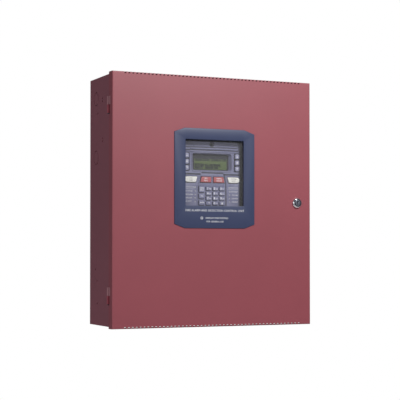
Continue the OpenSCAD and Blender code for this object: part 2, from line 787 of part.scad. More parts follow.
module wiring() {
  top = floor_z + battery_h + terminal_h;
  y = battery_y - battery_d + 8.4;
  left_x = battery_x0 + 15;
  right_x = battery_x0 + 2 * battery_w + battery_gap - 15;
  color("crimson") lead([[left_x, y, top + 0.2], [left_x, y, top + 10], [-128, -78, board_bottom - 4],
                         [-122, -80, board_bottom + 2], [-120, -66, board_bottom + 1.6]], 1.4);
  color("black") lead([[right_x, y, top + 0.2], [right_x, y, top + 10], [70, -80, board_bottom - 4],
                       [62, -80, board_bottom + 1], [58, -66, board_bottom + 1.6]], 1.4);
  // flat lead from the display board down to the main board
  color("silver") ribbon([[plate_y, 4], [plate_y + 9, 0], [plate_y + 14, -24],
                          [main_board_y - 28, board_bottom + 44], [main_board_y - 16, board_bottom + 38],
                          [main_board_y - 8, board_bottom + 38]], 30, 0.9);
}

// ---- nodes ----

backbox();
box_hinge_leaves();
hinge_pins();
chassis();
chassis_screws();
standoffs();
main_board();
terminal_blocks();
capacitors();
relays();
heat_sink();
connectors();
microchips();
sounder();
display_board();
display_plate();
lcd_frame();
lcd_glass();
display_cover();
cover_screws();
keypad_mat();
status_lamps();
transformer_core();
transformer_coil();
batteries();
wiring();
door();
door_hinge_leaves();
window_bezel();
window_gasket();
window_pane();
window_retainer();
door_nuts();
lock_body();
lock_plug();
lock_cam();
key_names = concat(pad_names, tall_names, long_names, side_names);
for (i = [0:24]) {
  key(i);
}
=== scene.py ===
import json
import math
import random

import bmesh
import bpy
from mathutils import Matrix, Vector


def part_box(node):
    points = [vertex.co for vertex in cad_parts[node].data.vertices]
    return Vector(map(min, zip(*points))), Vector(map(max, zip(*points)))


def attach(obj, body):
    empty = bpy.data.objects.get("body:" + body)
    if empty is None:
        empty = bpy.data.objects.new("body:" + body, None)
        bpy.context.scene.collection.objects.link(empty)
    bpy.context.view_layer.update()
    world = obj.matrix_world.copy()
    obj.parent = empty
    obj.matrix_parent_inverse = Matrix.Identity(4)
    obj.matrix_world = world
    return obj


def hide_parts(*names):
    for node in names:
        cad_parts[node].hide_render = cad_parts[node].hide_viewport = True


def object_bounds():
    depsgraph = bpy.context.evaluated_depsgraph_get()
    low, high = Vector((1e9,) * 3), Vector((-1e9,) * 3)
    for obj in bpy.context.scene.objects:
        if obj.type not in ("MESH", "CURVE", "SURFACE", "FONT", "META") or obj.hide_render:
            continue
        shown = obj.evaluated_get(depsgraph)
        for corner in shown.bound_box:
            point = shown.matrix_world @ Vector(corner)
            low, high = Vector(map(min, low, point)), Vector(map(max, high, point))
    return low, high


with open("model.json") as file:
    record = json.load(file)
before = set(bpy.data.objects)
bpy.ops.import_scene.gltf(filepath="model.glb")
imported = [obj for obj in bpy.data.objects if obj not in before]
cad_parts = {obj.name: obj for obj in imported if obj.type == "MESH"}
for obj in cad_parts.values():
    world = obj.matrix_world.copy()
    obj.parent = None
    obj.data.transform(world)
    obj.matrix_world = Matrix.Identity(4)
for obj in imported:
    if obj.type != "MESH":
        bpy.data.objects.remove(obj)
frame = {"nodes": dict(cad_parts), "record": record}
nodes = frame["nodes"]
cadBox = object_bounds()
scene = bpy.context.scene


def report(stage):
    print("fire panel:", stage)


studio = {
    "lens": 109.57,
    "shiftY": 0.0625,
    "yaw": 24.324,
    "tilt": 1.281,          # degrees above the level
    "distance": 2.3701,
    "target": (-0.03172, -0.1334, -0.04623),
    "floorDrop": 0.6,       # from the lowest point of the cabinet to the floor
    "floorSize": 1.4,
    "floorGlow": 0.45,
    "ambient": (0.125, 0.125, 0.145),
    # each light: name, place, aim, width and height, power
    "lights": [
        ("keyLight", (0.45, -1.35, 1.02), (0.05, -0.13, 0.0), (0.32, 0.26), 22.5),
        ("fillLight", (-2.2, -1.3, 0.3), (0, -0.1, 0.0), (1.0, 1.4), 10.5),
        ("backLight", (0.8, 1.7, 1.8), (0, 0, 0), (1.2, 1.2), 9.0),
    ],
}


def makeCamera():
    yaw, tilt = math.radians(studio["yaw"]), math.radians(studio["tilt"])
    ahead = Vector((math.sin(yaw) * math.cos(tilt), math.cos(yaw) * math.cos(tilt), math.sin(tilt)))
    lens = bpy.data.cameras.new("camera")
    lens.lens = studio["lens"]
    lens.sensor_width = 36
    lens.shift_y = studio["shiftY"]
    lens.clip_end = 50
    camera = bpy.data.objects.new("camera", lens)
    camera.location = Vector(studio["target"]) - ahead * studio["distance"]
    camera.rotation_euler = ahead.to_track_quat("-Z", "Y").to_euler()
    scene.collection.objects.link(camera)
    scene.camera = camera


def softLight(name, place, aim, size, power):
    lamp = bpy.data.lights.new(name, "AREA")
    lamp.shape = "RECTANGLE"
    lamp.size, lamp.size_y = size
    lamp.energy = power
    holder = bpy.data.objects.new(name, lamp)
    holder.location = place
    holder.rotation_euler = (Vector(aim) - Vector(place)).to_track_quat("-Z", "Y").to_euler()
    scene.collection.objects.link(holder)


def makeWorld():
    world = bpy.data.worlds.new("studio")
    world.use_nodes = True
    scene.world = world
    tree = world.node_tree
    seen = tree.nodes["Background"]
    seen.inputs["Color"].default_value = (1, 1, 1, 1)
    seen.inputs["Strength"].default_value = 1.0
    lit = tree.nodes.new("ShaderNodeBackground")
    lit.inputs["Color"].default_value = (*studio["ambient"], 1)
    ray = tree.nodes.new("ShaderNodeLightPath")
    either = tree.nodes.new("ShaderNodeMixShader")
    tree.links.new(ray.outputs["Is Camera Ray"], either.inputs[0])
    tree.links.new(lit.outputs[0], either.inputs[1])
    tree.links.new(seen.outputs[0], either.inputs[2])
    tree.links.new(either.outputs[0], tree.nodes["World Output"].inputs["Surface"])


def makeFloor():
    mesh = bmesh.new()
    bmesh.ops.create_grid(mesh, x_segments=1, y_segments=1, size=studio["floorSize"],
                          matrix=Matrix.Translation((0, 0, cadBox[0][2] - studio["floorDrop"])))
    data = bpy.data.meshes.new("floor")
    mesh.to_mesh(data)
    mesh.free()
    floor = bpy.data.objects.new("floor", data)
    scene.collection.objects.link(floor)
    pale = bpy.data.materials.new("paleFloor")
    pale.use_nodes = True
    shader = pale.node_tree.nodes["Principled BSDF"]
    shader.inputs["Base Color"].default_value = (0.86, 0.86, 0.86, 1)
    shader.inputs["Roughness"].default_value = 0.7
    # the floor is lifted to a pale tone for the eye alone, so that it throws no light on the cabinet
    ray = pale.node_tree.nodes.new("ShaderNodeLightPath")
    pale.node_tree.links.new(ray.outputs["Is Camera Ray"], shader.inputs["Emission Color"])
    shader.inputs["Emission Strength"].default_value = studio["floorGlow"]
    data.materials.append(pale)


scene.view_settings.view_transform = "Standard"
makeCamera()
makeWorld()
for light in studio["lights"]:
    softLight(*light)
makeFloor()
report("studio ready")


class Wire:
    # one output of a shader node, which can be added, multiplied or compared as a number can
    def __init__(self, tree, socket):
        self.tree = tree
        self.socket = socket

    def math(self, operation, first, second=0.0):
        node = self.tree.nodes.new("ShaderNodeMath")
        node.operation = operation
        for socket, value in zip(node.inputs, (first, second)):
            if isinstance(value, Wire):
                self.tree.links.new(value.socket, socket)
            else:
                socket.default_value = value
        return Wire(self.tree, node.outputs[0])

    def __add__(self, other):
        return self.math("ADD", self, other)

    __radd__ = __add__

    def __sub__(self, other):
        return self.math("SUBTRACT", self, other)

    def __rsub__(self, other):
        return self.math("SUBTRACT", other, self)

    def __mul__(self, other):
        return self.math("MULTIPLY", self, other)

    __rmul__ = __mul__

    def __truediv__(self, other):
        return self.math("DIVIDE", self, other)

    def __rtruediv__(self, other):
        return self.math("DIVIDE", other, self)

    def __gt__(self, other):
        return self.math("GREATER_THAN", self, other)

    def __lt__(self, other):
        return self.math("LESS_THAN", self, other)

    def clamped(self):
        return self.math("MINIMUM", self.math("MAXIMUM", self, 0.0), 1.0)

    def mod(self, step):
        return self.math("FLOORED_MODULO", self, step)


class Finish:
    def __init__(self, name, colour=(0.5, 0.5, 0.5), rough=0.5, metal=0.0):
        self.material = bpy.data.materials.new(name)
        self.material.use_nodes = True
        self.tree = self.material.node_tree
        self.shader = self.tree.nodes["Principled BSDF"]
        self.fix("Base Color", (*colour, 1))
        self.fix("Roughness", rough)
        self.fix("Metallic", metal)

    def fix(self, socket, value):
        self.shader.inputs[socket].default_value = value

    def node(self, kind, settings=None, **values):
        made = self.tree.nodes.new("ShaderNode" + kind)
        for key, value in (settings or {}).items():
            setattr(made, key, value)
        for key, value in values.items():
            numbered = key[0] == "i" and key[1:].isdigit()
            socket = made.inputs[int(key[1:]) if numbered else key]
            if isinstance(value, Wire):
                self.tree.links.new(value.socket, socket)
            else:
                socket.default_value = value
        return made

    def wire(self, made, output=0):
        return Wire(self.tree, made.outputs[output])

    def place(self):
        return self.wire(self.node("TexCoord"), "Object")

    def axes(self, letters):
        parts = self.node("SeparateXYZ", Vector=self.place())
        return [self.wire(parts, "xyz".index(letter)) for letter in letters]

    def noise(self, scale, detail=2.0, place=None):
        return self.wire(self.node("TexNoise", Vector=place or self.place(), Scale=scale, Detail=detail))

    def stretched(self, scale):
        return self.wire(self.node("Mapping", Vector=self.place(), Scale=scale))

    def cells(self, scale):
        # a random number from 0 to 1 for each cell
        colours = self.wire(self.node("TexVoronoi", Vector=self.place(), Scale=scale), "Color")
        return self.wire(self.node("SeparateColor", Color=colours))

    def mix(self, mask, first, second):
        made = self.node("Mix", {"data_type": "RGBA"}, i0=mask,
                         i6=first if isinstance(first, Wire) else (*first, 1),
                         i7=second if isinstance(second, Wire) else (*second, 1))
        return self.wire(made, 2)

    def feed(self, socket, wire):
        self.tree.links.new(wire.socket, self.shader.inputs[socket])

    def tint(self, mask, first, second):
        self.feed("Base Color", self.mix(mask, first, second))

    def bump(self, height, depth, strength=1.0):
        made = self.node("Bump", Height=height, Distance=depth, Strength=strength)
        self.feed("Normal", self.wire(made))


def shade(colour, factor):
    return tuple(min(1.0, c * factor) for c in colour)


def powderCoat(name, colour, rough=0.46):
    coat = Finish(name, colour, rough)
    cloud = coat.noise(7.0, 3.0)
    grain = coat.noise(850.0, 1.5)
    coat.tint((cloud * 0.7 + grain * 0.3).clamped(), shade(colour, 0.88), shade(colour, 1.12))
    coat.feed("Roughness", grain * 0.16 + (rough - 0.06))
    coat.bump(coat.noise(620.0, 2.0) + coat.noise(240.0, 1.0) * 0.8, 0.00006, 0.55)
    coat.fix("Specular IOR Level", 0.7)
    return coat.material


def moulded(name, colour, rough=0.5, grainScale=1400.0, depth=0.00005):
    plastic = Finish(name, colour, rough)
    cloud = plastic.noise(30.0, 2.0)
    grain = plastic.noise(grainScale, 2.0)
    plastic.tint((cloud * 0.6 + grain * 0.4).clamped(), shade(colour, 0.9), shade(colour, 1.1))
    plastic.feed("Roughness", grain * 0.12 + (rough - 0.05))
    plastic.bump(grain, depth, 0.5)
    return plastic.material


def zincPlate(name, colour=(0.60, 0.61, 0.60), rough=0.34):
    zinc = Finish(name, colour, rough, 1.0)
    tone = zinc.cells(160.0)
    streak = zinc.noise(9.0, 3.0, place=zinc.stretched((1, 1, 14)))
    zinc.tint((tone * 0.5 + streak * 0.5).clamped(), shade(colour, 0.8), shade(colour, 1.12))
    zinc.feed("Roughness", tone * 0.14 + streak * 0.1 + (rough - 0.1))
    zinc.bump(zinc.noise(900.0), 0.00002, 0.3)
    return zinc.material


def chromePlate(name):
    chrome = Finish(name, (0.82, 0.82, 0.84), 0.12, 1.0)
    smear = chrome.noise(420.0, 3.0)
    chrome.feed("Roughness", smear * 0.14 + 0.05)
    chrome.tint(smear, (0.70, 0.70, 0.72), (0.92, 0.92, 0.93))
    chrome.bump(chrome.noise(1500.0), 0.00001, 0.25)
    return chrome.material


# satin finish for the lock plug; its dark blue-grey colour is painted shade, standing in for the shade
# inside the lock's rim
def shadedSatinChrome(name):
    satin = Finish(name, (0.45, 0.46, 0.52), 0.3, 1.0)
    satin.feed("Roughness", satin.noise(420.0, 3.0) * 0.15 + 0.22)
    return satin.material


def turnedBrass(name):
    brass = Finish(name, (0.72, 0.52, 0.22), 0.3, 1.0)
    ring = brass.noise(600.0, 1.0, place=brass.stretched((1, 12, 1)))
    brass.tint(ring, (0.60, 0.42, 0.17), (0.80, 0.62, 0.30))
    brass.feed("Roughness", ring * 0.2 + 0.2)
    return brass.material


def solderResist(name):
    board = Finish(name, (0.02, 0.16, 0.07), 0.35)
    x, z = board.axes("xz")
    # copper tracks seen through the resist, in bands that change direction from place to place
    region = board.cells(28.0)
    across = (x.mod(0.0024) > 0.0014) * (region > 0.45)
    upright = (z.mod(0.0026) > 0.0016) * (0.45 - region > 0.0)
    bare = board.noise(38.0, 1.0) > 0.5
    tracks = ((across + upright) * bare).clamped()
    board.tint(tracks, (0.012, 0.115, 0.05), (0.03, 0.24, 0.10))
    board.feed("Roughness", board.noise(300.0) * 0.2 + 0.25)
    board.bump(tracks, 0.00004, 0.6)
    board.fix("Coat Weight", 0.3)
    board.fix("Coat Roughness", 0.15)
    return board.material


def liquidCrystal(name):
    cell = Finish(name, (0.18, 0.26, 0.09), 0.3)
    x, z = cell.axes("xz")
    pitchX, pitchZ = 0.0006, 0.0007
    grid = (x.mod(pitchX) > pitchX * 0.86) + (z.mod(pitchZ) > pitchZ * 0.86)
    cell.tint(grid.clamped() * 0.35 + cell.noise(60.0) * 0.3, (0.085, 0.115, 0.040),
              (0.055, 0.078, 0.026))
    cell.fix("Emission Color", (0.20, 0.30, 0.09, 1))
    cell.fix("Emission Strength", 0.09)
    cell.fix("Coat Weight", 0.5)
    cell.fix("Coat Roughness", 0.08)
    return cell.material


def clearSheet(name):
    clear = Finish(name, (0.96, 0.97, 0.98), 0.05)
    clear.fix("IOR", 1.45)
    clear.fix("Specular IOR Level", 0.35)
    dust = clear.noise(55.0, 4.0)
    clear.feed("Roughness", dust * 0.08 + 0.03)
    clear.feed("Alpha", dust * 0.03 + 0.02)
    return clear.material


def clearLens(name):
    lens = Finish(name, (0.55, 0.56, 0.6), 0.15)
    lens.tint(lens.noise(500.0), (0.42, 0.43, 0.48), (0.62, 0.62, 0.66))
    lens.fix("Coat Weight", 0.6)
    return lens.material


def printed(name, colour):
    ink = Finish(name, colour, 0.45)
    ink.tint(ink.noise(900.0), shade(colour, 0.9), shade(colour, 1.05))
    return ink.material


def laminated(name):
    steel = Finish(name, (0.16, 0.16, 0.17), 0.45, 0.7)
    y, = steel.axes("y")
    sheets = y.mod(0.0007) > 0.00012
    steel.tint(sheets, (0.04, 0.04, 0.045), (0.20, 0.20, 0.21))
    steel.bump(sheets, 0.0002, 0.8)
    return steel.material


def cableSet(name):
    # red lead at the left, black lead at the right and a grey flat cable between them
    cable = Finish(name, (0.4, 0.02, 0.02), 0.35)
    x, = cable.axes("x")
    left, right = x < -0.03, x > 0.03
    cores = x.mod(0.00127) > 0.00025
    flat = cable.mix(cores, (0.16, 0.16, 0.17), (0.46, 0.46, 0.47))
    redOrFlat = cable.mix(left, flat, (0.42, 0.015, 0.015))
    cable.tint(right, redOrFlat, (0.02, 0.02, 0.022))
    cable.feed("Roughness", cable.noise(400.0) * 0.15 + 0.3)
    cable.bump(cores * (1 - left) * (1 - right), 0.0001, 0.8)
    return cable.material


def woundTape(name):
    tape = Finish(name, (0.62, 0.45, 0.08), 0.35)
    x, z = tape.axes("xz")
    laps = (z + x * 0.12).mod(0.006) > 0.0004
    tape.tint(laps, (0.35, 0.24, 0.04), (0.66, 0.50, 0.12))
    tape.bump(laps, 0.0002, 0.8)
    tape.fix("Coat Weight", 0.3)
    return tape.material


paints = {
    "door": (0.330, 0.071, 0.089),
    "side": (0.30, 0.088, 0.110),
    "bezel": (0.048, 0.062, 0.130),
    "cover": (0.174, 0.176, 0.285),
    "keyGrey": (0.205, 0.207, 0.330),
    "sideKey": (0.290, 0.290, 0.430),
    "keyWhite": (0.88, 0.87, 0.81),
    "keyRed": (0.47, 0.105, 0.110),
}
finishes = {
    "door_paint": powderCoat("doorPaint", paints["door"]),
    "cabinet_side_paint": powderCoat("cabinetPaint", paints["side"], 0.45),
    "zinc_steel": zincPlate("zincPlate"),
    "chrome_plate": chromePlate("chromePlate"),
    "brass": turnedBrass("turnedBrass"),
    "circuit_board": solderResist("solderResist"),
    "terminal_plastic": moulded("terminalGreen", (0.03, 0.22, 0.10), 0.4),
    "capacitor_sleeve": moulded("capacitorSleeve", (0.02, 0.035, 0.11), 0.25, 300.0),
    "black_plastic": moulded("blackPlastic", (0.018, 0.018, 0.02), 0.45),
    "black_aluminium": moulded("blackAnodised", (0.03, 0.03, 0.032), 0.35, 2200.0),
    "ivory_plastic": moulded("ivoryPlastic", (0.66, 0.62, 0.48), 0.42),
    "black_steel": moulded("blackFinish", (0.02, 0.02, 0.024), 0.4),
    "lcd_green": liquidCrystal("liquidCrystal"),
    "cover_plastic": moulded("coverPlastic", paints["cover"], 0.46),
    "silicone_rubber": moulded("siliconeMat", (0.09, 0.09, 0.11), 0.6),
    "lamp_plastic": clearLens("lampLens"),
    "lamination_steel": laminated("laminations"),
    "winding_tape": woundTape("windingTape"),
    "battery_plastic": moulded("batteryCase", (0.035, 0.036, 0.04), 0.5, 700.0),
    "wire_insulation": cableSet("cableSet"),
    "bezel_blue_plastic": moulded("bezelPlastic", paints["bezel"], 0.42, 1100.0),
    "black_rubber": moulded("gasketRubber", (0.012, 0.012, 0.012), 0.7),
    "clear_polycarbonate": clearSheet("clearSheet"),
    "key_grey_plastic": moulded("keyGrey", paints["keyGrey"], 0.4),
    "key_white_plastic": moulded("keyWhite", paints["keyWhite"], 0.38),
    "key_red_plastic": moulded("keyRed", paints["keyRed"], 0.38),
}
whiteInk = printed("whiteInk", (0.94, 0.94, 0.95))
darkInk = printed("darkInk", (0.02, 0.02, 0.03))
softInk = printed("softInk", (0.62, 0.62, 0.68))
greyInk = printed("greyInk", (0.34, 0.33, 0.33))
sideCap = moulded("sideKeyCap", paints["sideKey"], 0.38)
darkZinc = zincPlate("darkZinc", (0.10, 0.10, 0.11), 0.4)
report("finishes ready")


def bevelEdges(mesh, edges, width, segments=3):
    if edges and width > 0:
        bmesh.ops.bevel(mesh, geom=list(edges), offset=width, offset_type="OFFSET", segments=segments,
                        profile=0.5, affect="EDGES", material=-1, clamp_overlap=True)


def addBlock(mesh, low, high, edge=0.0, segments=2):
    low, high = Vector(low), Vector(high)
    made = bmesh.ops.create_cube(mesh, size=1.0)["verts"]
    bmesh.ops.scale(mesh, vec=high - low, verts=made)
    bmesh.ops.translate(mesh, vec=(low + high) / 2, verts=made)
    bevelEdges(mesh, {e for v in made for e in v.link_edges}, edge, segments)


def addRod(mesh, x, z, radius, front, back, edge=0.0, sides=32):
    turn = Matrix.Translation((x, (front + back) / 2, z)) @ Matrix.Rotation(math.radians(90), 4, "X")
    made = bmesh.ops.create_cone(mesh, cap_ends=True, segments=sides, radius1=radius, radius2=radius,
                                 depth=back - front, matrix=turn)["verts"]
    rims = {e for v in made for e in v.link_edges if len({round(w.co.y, 6) for w in e.verts}) == 1}
    bevelEdges(mesh, rims, edge, 2)


def roundCorners(x0, z0, x1, z1, radius, steps=5):
    points = []
    for cx, cz, start in ((x1 - radius, z1 - radius, 0), (x0 + radius, z1 - radius, 90),
                          (x0 + radius, z0 + radius, 180), (x1 - radius, z0 + radius, 270)):
        for i in range(steps + 1):
            turn = math.radians(start + 90 * i / steps)
            points.append((cx + radius * math.cos(turn), cz + radius * math.sin(turn)))
    return points


def ringPoints(x, z, radius, steps=20):
    return [(x + radius * math.cos(math.tau * i / steps), z + radius * math.sin(math.tau * i / steps))
            for i in range(steps)]


def addPlate(mesh, outline, holes, front, back, edge=0.0, segments=3):
    # a flat plate seen from the front, with holes through it and its front edges rounded
    scratch = bmesh.new()
    loops = []
    for points in [outline] + list(holes):
        ring = [scratch.verts.new((x, front, z)) for x, z in points]
        loops += [scratch.edges.new((ring[i], ring[(i + 1) % len(ring)])) for i in range(len(ring))]
    bmesh.ops.triangle_fill(scratch, use_beauty=True, use_dissolve=False, edges=loops)
    bmesh.ops.recalc_face_normals(scratch, faces=scratch.faces)
    face = list(scratch.faces)
    grown = bmesh.ops.extrude_face_region(scratch, geom=face)["geom"]
    bmesh.ops.translate(scratch, vec=(0, back - front, 0),
                        verts=[v for v in grown if isinstance(v, bmesh.types.BMVert)])
    bmesh.ops.recalc_face_normals(scratch, faces=scratch.faces)
    middle, corner = (front + back) / 2, math.radians(60)
    rim = [e for e in scratch.edges if len(e.link_faces) == 2 and e.calc_face_angle(0.0) > corner
           and all(v.co.y < middle for v in e.verts)]
    bevelEdges(scratch, rim, edge, segments)
    pour(mesh, scratch)


def pour(mesh, scratch):
    data = bpy.data.meshes.new("pour")
    scratch.to_mesh(data)
    scratch.free()
    mesh.from_mesh(data)
    bpy.data.meshes.remove(data)


def addLathe(mesh, profile, x, z, steps=48):
    # profile: (radius, y) pairs turned round a line along Y
    ring = [mesh.verts.new((x + r, y, z)) for r, y in profile]
    edges = [mesh.edges.new(pair) for pair in zip(ring, ring[1:])]
    before = set(mesh.faces)
    bmesh.ops.spin(mesh, geom=ring + edges, cent=(x, 0, z), axis=(0, 1, 0), angle=math.tau,
                   steps=steps, use_merge=True, use_duplicate=False)
    new = [f for f in mesh.faces if f not in before]
    bmesh.ops.remove_doubles(mesh, verts=list({v for f in new for v in f.verts}), dist=1e-7)
    bmesh.ops.recalc_face_normals(mesh, faces=[f for f in mesh.faces if f not in before])


def paintNew(mesh, slot, build):
    # the faces that build adds take the material in this slot
    old = set(mesh.faces)
    build()
    for face in mesh.faces:
        if face not in old:
            face.material_index = slot


printLift = 0.00012     # how far printed marks stand out of their surface


def addText(mesh, text, x, z, y, size, align="CENTER", slot=1, bold=0.0, width=1.0, lift=printLift,
            spread=1.0):
    curve = bpy.data.curves.new("lettering", "FONT")
    curve.body = text
    curve.size = size
    curve.space_character = spread
    curve.align_x = align
    curve.align_y = "CENTER"
    curve.offset = bold
    curve.extrude = lift
    curve.resolution_u = 2
    holder = bpy.data.objects.new("lettering", curve)
    scene.collection.objects.link(holder)
    bpy.context.view_layer.update()
    data = bpy.data.meshes.new_from_object(holder.evaluated_get(bpy.context.evaluated_depsgraph_get()))
    data.transform(Matrix.Translation((x, y, z)) @ Matrix.Rotation(math.radians(90), 4, "X")
                   @ Matrix.Diagonal((width, 1, 1, 1)))
    paintNew(mesh, slot, lambda: mesh.from_mesh(data))
    bpy.data.objects.remove(holder)
    bpy.data.curves.remove(curve)
    bpy.data.meshes.remove(data)


def keepPiece(mesh, name, slot, stands=(), body="cabinet", materials=None, smooth=35):
    # stands: the CAD nodes that this piece takes the place of
    data = bpy.data.meshes.new(name)
    mesh.to_mesh(data)
    mesh.free()
    piece = bpy.data.objects.new(name, data)
    scene.collection.objects.link(piece)
    for material in materials or [finishes[slot]]:
        data.materials.append(material)
    data.shade_smooth()
    data.set_sharp_from_angle(angle=math.radians(smooth))
    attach(piece, body)
    if stands:
        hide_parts(*stands)


# pieces kept as the CAD has them, with a finish of their own
special = {
    "cover_screws": darkZinc,
    "hinge_pins": darkZinc,
    # the door's hinge leaves are a lighter grey-pink than the door paint: a painted highlight on the
    # knuckles
    "door_hinge_leaves": powderCoat("hingeTopPaintedHighlight", (0.44, 0.20, 0.22)),
    "box_hinge_leaves": powderCoat("hingeLowPaint", (0.42, 0.06, 0.09)),
}


def plainFinish():
    for row in frame["record"]["subparts"]:
        cad = nodes[row["node"]]
        cad.data.materials.clear()
        cad.data.materials.append(special.get(row["node"], finishes[row["material_slot"]]))


plainFinish()
report("helpers ready")


bezel = {
    "cutX": 0.0223,
    "cutZ": 0.008,
    "edge": 0.0009,
    "paneOverlap": 0.009,       # how far the pane reaches behind the frame
    "collar": 0.0028,
    "title": "FIRE ALARM AND DETECTION CONTROL UNIT",
    "titleHeight": 0.0058,
    "titleDrop": 0.0095,        # from the window's lower edge
    # each line under the title: words, height, shift across, drop from the title
    "lower": [("DISPLAY AND KEYPAD", 0.0048, 0.004, 0.0146), ("FOR GENERAL USE", 0.0044, 0, 0.0215)],
    "ringShift": -0.0285,
    "ringRadii": (0.0026, 0.0017),
    "studInset": (0.0075, 0.0125),
    "studRadius": 0.0015,
}


def makeBezel():
    low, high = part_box("window_bezel")
    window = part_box("window_pane")
    rim = bezel["paneOverlap"]
    x0, x1, z0, z1 = low.x, high.x, low.z, high.z
    cutX, cutZ = bezel["cutX"], bezel["cutZ"]
    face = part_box("door")[0].y
    front = low.y
    outline = [(x0, z0 + cutZ), (x0 + cutX, z0), (x1 - cutX, z0), (x1, z0 + cutZ), (x1, z1 - cutZ),
               (x1 - cutX, z1), (x0 + cutX, z1), (x0, z1 - cutZ)]
    opening = roundCorners(window[0].x + rim, window[0].z + rim, window[1].x - rim, window[1].z - rim,
                           0.0012, 3)
    mesh = bmesh.new()
    addPlate(mesh, outline, [opening], front, face, bezel["edge"], 3)
    # the collar that lines the hole in the door
    collar = bezel["collar"]
    outer = roundCorners(window[0].x + rim - collar, window[0].z + rim - collar,
                         window[1].x - rim + collar, window[1].z - rim + collar, 0.0015, 3)
    addPlate(mesh, outer, [opening], face, window[0].y - 0.001, 0.0)
    middle = (x0 + x1) / 2
    titleZ = window[0].z + rim - bezel["titleDrop"]
    addText(mesh, bezel["title"], middle, titleZ, front, bezel["titleHeight"], width=0.93, spread=1.12)
    for words, height, across, drop in bezel["lower"]:
        addText(mesh, words, middle + across, titleZ - drop, front, height)
    insetX, insetZ = bezel["studInset"]
    for x in (x0 + insetX, x1 - insetX):
        for i in range(3):
            z = z0 + insetZ + i * (z1 - z0 - 2 * insetZ) / 2
            addRod(mesh, x, z, bezel["studRadius"], face, high.y, 0.0003, 16)
    keepPiece(mesh, "windowBezel", "bezel_blue_plastic", ["window_bezel"], body="door",
              materials=[finishes["bezel_blue_plastic"], whiteInk])
    # small ring before the first line of lettering
    ring = bmesh.new()
    spot = (middle + bezel["ringShift"], titleZ - bezel["lower"][0][3])
    outer, inner = [ringPoints(*spot, radius) for radius in bezel["ringRadii"]]
    addPlate(ring, outer, [inner], front - printLift, front, 0.0)
    keepPiece(ring, "bezelRing", "bezel_blue_plastic", body="door", materials=[whiteInk])


makeBezel()
report("bezel made")


cover = {
    "cornerRadius": 0.004,
    "stepBack": 0.0022,
    "sheet": 0.002,
    "wall": 0.0018,
    "edge": 0.0005,
    "faceInset": 0.0012,
    "keyGap": 0.0010,
    "wellShift": 0.0006,
    "lampHole": 0.0014,
    "screwDrop": 0.005,         # from the top edge to the screw
    "screwWell": 0.0050,
    "screwHole": 0.0021,
    "notch": (0.0480, 0.0595, 0.0968),      # half width of the face at the side keys, and its ends
    # each ridge: z of its lower edge, width, half length, where each half starts
    "ridges": [(0.0975, 0.0026, 0.0486, 0.0), (0.1030, 0.0026, 0.0470, 0.0),
               (0.1090, 0.0022, 0.0400, 0.0065)],
    "ridgeRise": 0.0011,
    "recess": (0.0425, 0.0021, 0.0071),     # half width, and its reach below and above the display
    "recessRadius": 0.005,
    "recessInset": 0.0035,
    "rimWidth": 0.0016,
    "keypadTop": 0.0560,
    "keypadBase": 0.004,        # above the cover's lower edge
    "shadowLineDepth": 0.0001,      # how thin the painted shadow lines on the face are
}
keys = {
    "rise": 0.0024,             # the caps' height above the cover
    "flangeGrow": 0.0007,       # how much wider a key's hidden flange is than its cap, on each side
    "flangeBack": 0.0043,
    "flangeThick": 0.0012,
    "slant": 0.0026,
    "nick": 0.0008,
}
longKeys = ["key_acknowledge", "key_drill", "key_silence", "key_reset"]
sideKeys = ["key_left_up", "key_left_mid", "key_left_down", "key_right_up", "key_right_mid",
            "key_right_down"]
legends = {
    "key_1": ("1", "AB"), "key_2": ("2", "CD"), "key_3": ("3", "EF"), "key_4": ("4", "GH"),
    "key_5": ("5", "IJ"), "key_6": ("6", "KL"), "key_7": ("7", "MN"), "key_8": ("8", "OP"),
    "key_9": ("9", "QR"), "key_star": ("*", ""), "key_0": ("0", "SP"), "key_hash": ("#", ""),
}
tallLegends = {"key_menu": ("MENU", "BACK"), "key_enter": ("", "ESC"), "key_clear": ("ENTER", "")}
longLegends = {"key_acknowledge": ("ACK", "STEP"), "key_drill": ("FIRE", "DRILL"),
               "key_silence": ("SIGNAL", "SILENCE"), "key_reset": ("SYSTEM", "RESET")}
plainKeys = [n for n in legends] + list(tallLegends) + longKeys + sideKeys


def capBox(name):
    low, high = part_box(name)
    grow = Vector((keys["flangeGrow"], 0, keys["flangeGrow"]))
    return low + grow, high - grow


def coverFront():
    return capBox("key_5")[0].y + keys["rise"]


def roundEnd(x, z, radius, start):
    return [(x + radius * math.cos(math.radians(a)), z + radius * math.sin(math.radians(a)))
            for a in range(start, start + 181, 20)]


def keyOutline(name, grow=0.0):
    low, high = capBox(name)
    x0, x1, z0, z1 = low.x - grow, high.x + grow, low.z - grow, high.z + grow
    slant, nick, lowNick = keys["slant"], keys["nick"], 0.001
    radius, middle = (z1 - z0) / 2, (z0 + z1) / 2
    if name == "key_acknowledge":
        return ([(x1, z1 - nick), (x1 - nick, z1)] + roundEnd(x0 + radius, middle, radius, 90)
                + [(x1 - slant - lowNick, z0), (x1 - slant, z0 + lowNick)])
    if name == "key_reset":
        return ([(x0 + slant, z0 + lowNick), (x0 + slant + lowNick, z0)]
                + roundEnd(x1 - radius, middle, radius, -90) + [(x0 + nick, z1), (x0, z1 - nick)])
    if name == "key_drill":
        return [(x0, z0), (x1, z0), (x1, z1), (x0 + slant, z1)]
    if name == "key_silence":
        return [(x0, z0), (x1, z0), (x1 - slant, z1), (x0, z1)]
    if name in sideKeys:
        return roundCorners(x0, z0, x1, z1, 0.0030 + grow, 6)
    return roundCorners(x0, z0, x1, z1, 0.0013 + grow, 4)


def wellOutline(name):
    # the hole round a key reaches further at its left and lower sides
    wide = longKeys + sideKeys
    gap = cover["keyGap"] + (0.0003 if name in wide else 0.0)
    shift = cover["wellShift"] * (0.5 if name in wide else 1.0)
    return [(x - shift, z - shift) for x, z in keyOutline(name, gap)]


